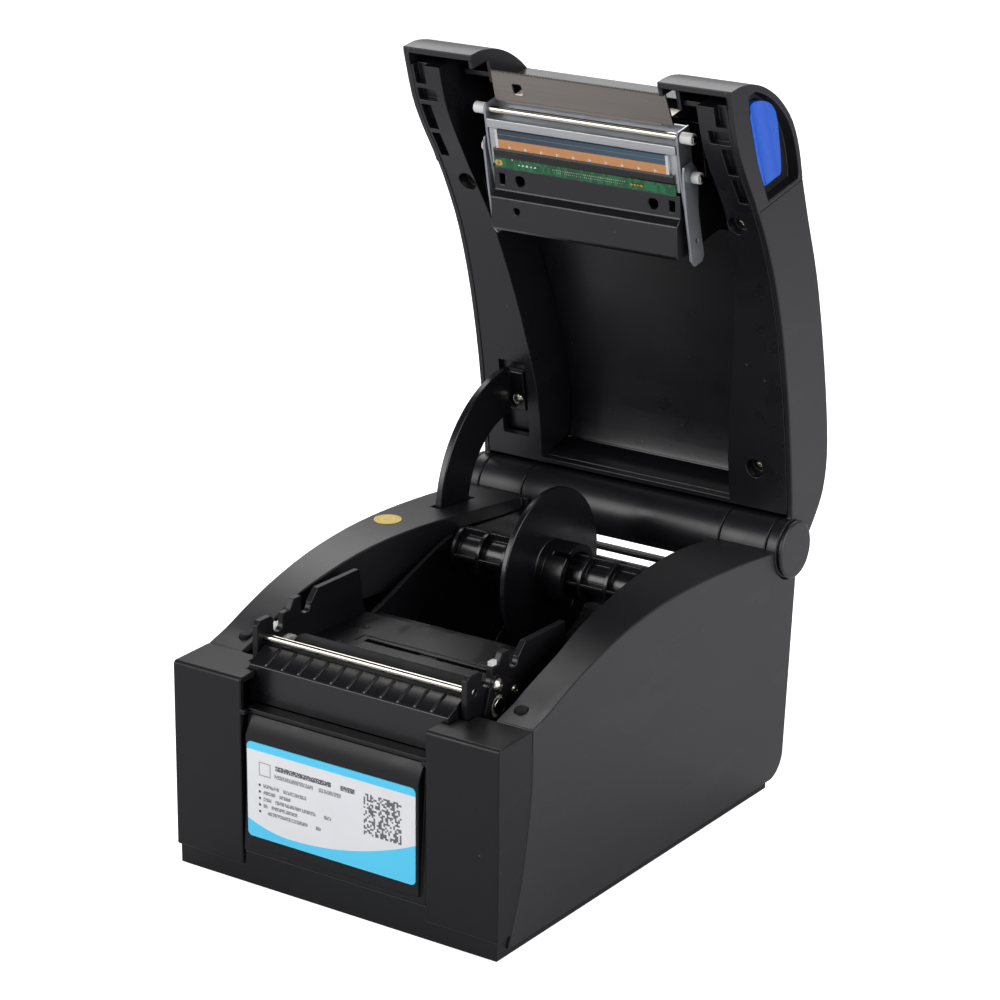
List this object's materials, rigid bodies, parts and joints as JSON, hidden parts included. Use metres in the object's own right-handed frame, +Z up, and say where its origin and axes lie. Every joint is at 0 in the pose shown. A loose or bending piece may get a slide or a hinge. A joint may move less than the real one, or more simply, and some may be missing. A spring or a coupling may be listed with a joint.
{
  "type": "thermal label printer",
  "caption": "Desktop direct thermal label printer with clamshell roll cover, sprung print head, geared platen, roll spindle with sliding flange and side release buttons.",
  "frame": {"origin": "on the table under the middle of the open printer's bounding box", "axes": "+X to the right-hand side seen from the front, +Y to the back (the label leaves towards -Y), +Z up; lid open on its stay at rest"},
  "size_m": [0.155, 0.2336, 0.2978],
  "materials": {
    "black_abs": "satin, fine spark texture",
    "inner_black": "semi-gloss moulded",
    "rubber": "matt",
    "label_paper": "satin film",
    "gold_foil": "satin foil",
    "chrome_rod": "polished",
    "steel_black": "black passivated",
    "steel_bright": "brushed",
    "screw_steel": "bright zinc",
    "aluminium_block": "extruded",
    "nylon_white": "natural nylon",
    "brass_pinion": "cut",
    "motor_grey": "satin",
    "board_green": "solder mask",
    "chip_black": "moulded",
    "ceramic_copper": "glazed ceramic",
    "button_blue": "glossy",
    "key_grey": "satin",
    "rocker_red": "glossy",
    "sensor_dark": "smoked lens",
    "light_green": "translucent"
  },
  "bodies": {
    "base": {"base_tray": "black_abs", "rubber_feet": "rubber", "tray_screws": "screw_steel", "main_housing": "black_abs", "front_bezel": "black_abs", "front_panel": "black_abs", "front_label": "label_paper", "output_platform": "inner_black", "tear_rod": "chrome_rod", "frame_left": "steel_black", "frame_right": "steel_black", "frame_tie": "steel_bright", "retaining_plate": "steel_black", "frame_screws": "screw_steel", "platen_bushes": "nylon_white", "paper_guide": "inner_black", "sensor_rail": "inner_black", "paper_bay": "inner_black", "motor_case": "motor_grey", "main_board": "board_green", "board_chips": "chip_black", "io_plate": "inner_black", "dc_jack": "chip_black", "usb_socket": "steel_bright", "serial_socket": "steel_bright", "drawer_socket": "chip_black", "switch_frame": "chip_black", "hinge_pins": "chrome_rod", "deck_bumpers": "rubber", "deck_sticker": "gold_foil"},
    "platen": {"platen_shaft": "chrome_rod", "platen_rubber": "rubber", "platen_gear": "nylon_white"},
    "idler": {"idler_gear": "nylon_white"},
    "motor_rotor": {"motor_pinion": "brass_pinion"},
    "spindle": {"roll_spindle": "inner_black"},
    "flange": {"roll_flange": "inner_black", "flange_collar": "inner_black"},
    "sensor": {"sensor_slider": "sensor_dark"},
    "rocker": {"switch_rocker": "rocker_red"},
    "lid": {"lid_cover": "black_abs", "lid_front_cover": "black_abs", "lid_inner_frame": "inner_black", "roll_cover": "inner_black", "hinge_caps": "black_abs", "stay_arm": "inner_black", "lid_screws": "screw_steel", "tear_blade": "steel_bright", "head_housing": "inner_black", "head_springs": "screw_steel", "status_lights": "light_green"},
    "print_head": {"head_bracket": "steel_bright", "heat_sink": "aluminium_block", "ceramic_strip": "ceramic_copper", "driver_board": "board_green", "head_rods": "chrome_rod", "head_bushes": "nylon_white"},
    "button_right": {"release_button_right": "button_blue"},
    "button_left": {"release_button_left": "button_blue"},
    "key": {"feed_key": "key_grey"}
  },
  "joints": [
    {"name": "lid_hinge", "type": "hinge", "parent": "base", "child": "lid", "pos_m": [0, 0.08942, 0.102], "axis": [1, 0, 0], "range_deg": [0, 77.7]},
    {"name": "platen_spin", "type": "hinge", "parent": "base", "child": "platen", "pos_m": [0, -0.08128, 0.085], "axis": [1, 0, 0], "continuous": true},
    {"name": "idler_spin", "type": "hinge", "parent": "base", "child": "idler", "pos_m": [-0.05, -0.06924, 0.0678], "axis": [1, 0, 0], "continuous": true},
    {"name": "motor_spin", "type": "hinge", "parent": "base", "child": "motor_rotor", "pos_m": [-0.05, -0.06924, 0.0516], "axis": [1, 0, 0], "continuous": true},
    {"name": "spindle_spin", "type": "hinge", "parent": "base", "child": "spindle", "pos_m": [0, 0.03022, 0.0945], "axis": [1, 0, 0], "continuous": true},
    {"name": "flange_slide", "type": "slide", "parent": "spindle", "child": "flange", "axis": [1, 0, 0], "range_m": [-0.036, 0.028]},
    {"name": "sensor_slide", "type": "slide", "parent": "base", "child": "sensor", "axis": [1, 0, 0], "range_m": [-0.024, 0.024]},
    {"name": "rocker_tilt", "type": "hinge", "parent": "base", "child": "rocker", "pos_m": [0.0505, 0.08522, 0.024], "axis": [1, 0, 0], "range_deg": [0, 8]},
    {"name": "head_float", "type": "slide", "parent": "lid", "child": "print_head", "axis": [0, 0.977, 0.213], "range_m": [0, 0.001], "stiffness_N_per_m": 3000, "springref_m": -0.003, "deforming": ["head_springs"]},
    {"name": "release_right", "type": "slide", "parent": "lid", "child": "button_right", "axis": [-1, 0, 0], "range_m": [0, 0.003], "stiffness_N_per_m": 400, "springref_m": -0.003},
    {"name": "release_left", "type": "slide", "parent": "lid", "child": "button_left", "axis": [1, 0, 0], "range_m": [0, 0.003], "stiffness_N_per_m": 400, "springref_m": -0.003},
    {"name": "key_press", "type": "slide", "parent": "lid", "child": "key", "axis": [0, -0.977, -0.213], "range_m": [0, 0.001], "stiffness_N_per_m": 300, "springref_m": -0.002}
  ],
  "couplings": [
    {"joint": "idler_spin", "follows": "platen_spin", "ratio": -0.75},
    {"joint": "motor_spin", "follows": "platen_spin", "ratio": 2.1429}
  ]
}
